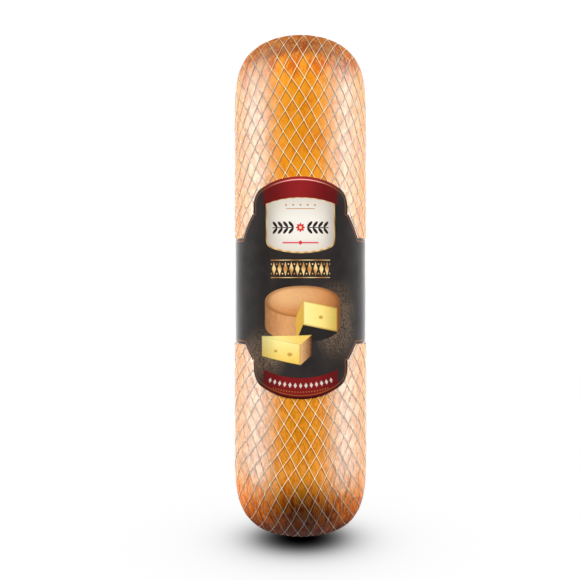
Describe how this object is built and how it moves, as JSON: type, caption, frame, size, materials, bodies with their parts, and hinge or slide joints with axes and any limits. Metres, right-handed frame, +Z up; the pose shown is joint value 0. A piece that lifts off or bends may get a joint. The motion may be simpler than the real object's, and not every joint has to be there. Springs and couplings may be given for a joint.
{
  "type": "provolone cheese",
  "caption": "Whole log of smoked provolone standing on end, drawn into a fine diamond net, with a dark wrap-around label and a taller badge on its front.",
  "frame": {"origin": "centre of the bounding box's bottom face, in the middle of the flat the log stands on", "axes": "+Z up along the log, the middle of the label's badge faces -Y, +X to the right of someone facing the badge"},
  "size_m": [0.1202, 0.1204, 0.4376],
  "materials": {
    "rind": "smoked cheese rind, waxy and faintly mottled, browner at both ends",
    "thread": "cream cotton thread",
    "label_film": "satin printed film, black with dark red, cream and gold fields"
  },
  "bodies": {
    "root": {"cheese": "rind", "net": "thread", "label": "label_film"}
  },
  "joints": []
}
